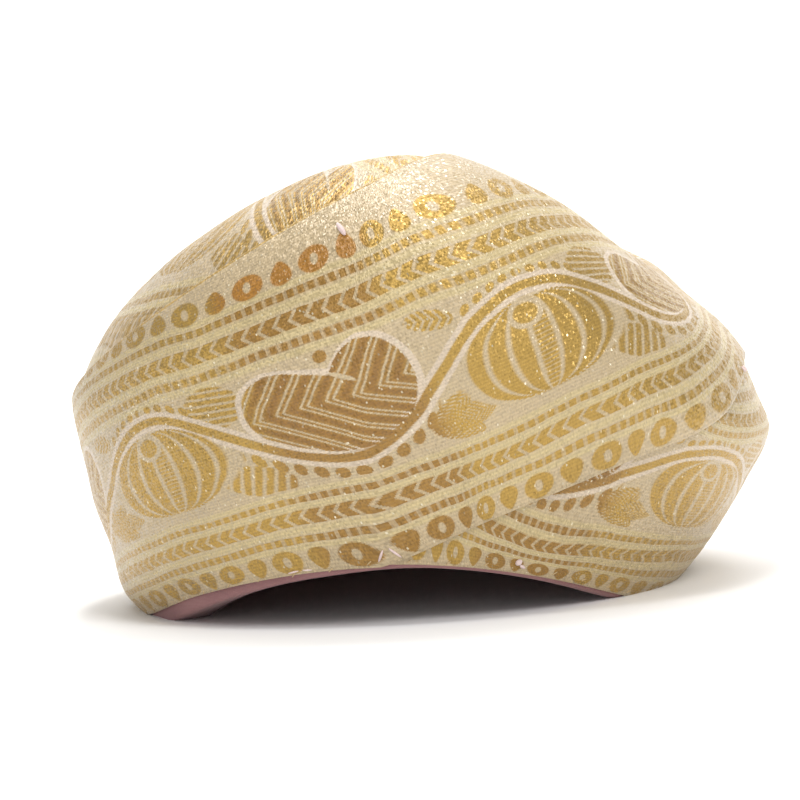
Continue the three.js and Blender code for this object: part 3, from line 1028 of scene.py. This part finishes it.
# Loose threads, knots and tacks that show on the outside: place on a wrap, then length, thickness and turn
# from the weave's direction in degrees. The tacks pass to the under wrap at the angle called crossing.
looseThreads = {
    "wrap": ["front", "front", "front", "front", "front", "under", "under", "front", "front"],
    "angle": [-2, 1.2, 3.6, -14, -11.5, 25, 25.8, 78, 77],
    "across": [0.884, 0.03, 0.026, 0.03, 0.03, 0.03, 0.02, 0.01, 0.018],
    "length": [6.2, 4.6, 5.4, 4.2, 3.4, 2.6, 2.4, 2.4, 3.2],
    "thick": [1.9, 0.9, 0.8, 0.6, 0.5, 2.0, 1.2, 1.7, 0.9],
    "turn": [-62, 68, -38, 4, -6, 50, -20, 80, -30],
}
hemTacks = {
    "pitch": 13.0,
    "length": 2.2,
    "thick": 0.42,
    "up": 2.4,
    "turn": 40,
    "ends": (-176.0, 178),
    "crossing": 4,
}


def clothPlace(wrap, depthAt, angle, across):  # a point on a wrap's outside, with its outward and along
    climb = climbAcross(wrap, angle, across)
    outward = formNormal(angle, climb)
    point = formPoint(angle, climb)
    point -= outward * skinDepth(depthAt, point, angle, across, climb)
    along = formPoint(angle + 0.5, climb) - formPoint(angle - 0.5, climb)
    return point, outward, along.normalized()


def addThread(bm, spot, length, thick, turn):
    point, outward, along = spot
    made = bmesh.ops.create_uvsphere(bm, u_segments=10, v_segments=8, radius=0.5)
    up = outward.cross(along).normalized()
    direction = along * math.cos(math.radians(turn)) + up * math.sin(math.radians(turn))
    side = direction.cross(outward).normalized()
    frameTurn = Matrix((direction, side, outward)).transposed().to_4x4()
    shape = Matrix.Diagonal((length, thick, thick, 1))
    place = Matrix.Translation(point + outward * thick * 0.15)
    bmesh.ops.transform(bm, matrix=place @ frameTurn @ shape, verts=made["verts"])


wraps = {"front": (frontWrap, frontDepth), "under": (underWrap, underDepth)}
bm = bmesh.new()
for k, name in enumerate(looseThreads["wrap"]):
    spot = clothPlace(*wraps[name], looseThreads["angle"][k], looseThreads["across"][k])
    addThread(bm, spot, looseThreads["length"][k], looseThreads["thick"][k], looseThreads["turn"][k])
makePiece("looseThreads", bm, sewingThread)
bm = bmesh.new()
angle, lastAngle = hemTacks["ends"]
while angle < lastAngle:
    outer, depthAt = wraps["front" if angle < hemTacks["crossing"] else "under"]
    width = (formPoint(angle, climbAcross(outer, angle, 1)) - formPoint(angle, 0)).length
    spot = clothPlace(outer, depthAt, angle, hemTacks["up"] / width)
    addThread(bm, spot, hemTacks["length"], hemTacks["thick"], hemTacks["turn"])
    foot = formPoint(angle, 0)
    angle += math.degrees(hemTacks["pitch"] / math.hypot(foot.x, foot.y))
makePiece("hemTacks", bm, tackThread)
print("threads made")

# The photo's view: the camera's distance from the turban in metres, its turn and rise in degrees.
view = {
    "distance": 1.4,
    "turn": 8.0,
    "rise": 3.0,
    "roll": 3.43,
    "middleHeight": 0.080,
    "lens": 178.2,
    "shift": (-0.02625, -0.025),
}
turn, rise = math.radians(view["turn"]), math.radians(view["rise"])
ahead = Vector((-math.sin(turn) * math.cos(rise), math.cos(turn) * math.cos(rise), -math.sin(rise)))
cameraData = bpy.data.cameras.new("camera")
cameraData.lens = view["lens"]
cameraData.sensor_width = 36
cameraData.shift_x, cameraData.shift_y = view["shift"]
camera = bpy.data.objects.new("camera", cameraData)
camera.location = Vector((0, 0, view["middleHeight"])) - ahead * view["distance"]
level = ahead.to_track_quat("-Z", "Y")
camera.rotation_mode = "QUATERNION"
camera.rotation_quaternion = level @ Matrix.Rotation(math.radians(-view["roll"]), 3, "Z").to_quaternion()
bpy.context.scene.collection.objects.link(camera)
bpy.context.scene.camera = camera

# Floor with a curved rise behind it, light world, and the lamps: place, target, size and power.
studio = {
    "floorColour": (0.93, 0.93, 0.93),
    "floorProfile": [(-3.0, 0.0), (1.6, 0.0), (2.3, 0.12), (2.8, 0.55), (3.0, 1.2), (3.0, 3.0)],
    "floorHalf": 4,
    "worldColour": (1.0, 1.0, 1.0),
    "worldStrength": 0.6,
    "lamps": {
        "topLamp": ((0.05, -0.45, 1.2), (0, 0, 0.08), 0.25, 3.8),
        "keyLamp": ((0.9, -1.3, 1.3), (0, 0, 0.08), 0.8, 13.5),
        "lowLamp": ((-0.1, -1.5, 0.2), (0, 0, 0.05), 0.6, 3.2),
        "crestLamp": ((-0.12, 0.3, 1.15), (0, 0, 0.12), 0.12, 4),
        "backdropLamp": ((0.0, 1.0, 2.6), (0, 3.0, 0.6), 2.0, 90),
    },
}
profile, halfFloor = studio["floorProfile"], studio["floorHalf"]
bm = bmesh.new()
edge = bm.edges.new([bm.verts.new((x, *profile[0])) for x in (-halfFloor, halfFloor)])
for (y, z), (nextY, nextZ) in zip(profile, profile[1:]):
    made = bmesh.ops.extrude_edge_only(bm, edges=[edge])["geom"]
    moved = [part for part in made if isinstance(part, bmesh.types.BMVert)]
    bmesh.ops.translate(bm, verts=moved, vec=(0, nextY - y, nextZ - z))
    edge = bm.edges.get(moved)
bm.normal_update()
wrongWay = [face for face in bm.faces if face.normal.z < -0.01 or face.normal.y > 0.01]
bmesh.ops.reverse_faces(bm, faces=wrongWay)
mesh = bpy.data.meshes.new("floor")
bm.to_mesh(mesh)
bm.free()
floor = bpy.data.objects.new("floor", mesh)
bpy.context.scene.collection.objects.link(floor)
curve = floor.modifiers.new("curve", "SUBSURF")
curve.levels = curve.render_levels = 3
for face in mesh.polygons:
    face.use_smooth = True
mesh.materials.append(plainMaterial("floorPaper", studio["floorColour"], 0.9))

world = bpy.data.worlds.new("studio")
world.use_nodes = True
background = world.node_tree.nodes["Background"]
background.inputs["Color"].default_value = (*studio["worldColour"], 1)
background.inputs["Strength"].default_value = studio["worldStrength"]
bpy.context.scene.world = world
bpy.context.scene.view_settings.view_transform = "Standard"


def addLamp(name, place, target, size, power):
    data = bpy.data.lights.new(name, "AREA")
    data.size = size
    data.energy = power
    lamp = bpy.data.objects.new(name, data)
    lamp.location = place
    lamp.rotation_mode = "QUATERNION"
    lamp.rotation_quaternion = (Vector(target) - Vector(place)).to_track_quat("-Z", "Y")
    bpy.context.scene.collection.objects.link(lamp)


for name, values in studio["lamps"].items():
    addLamp(name, *values)
print("studio made")
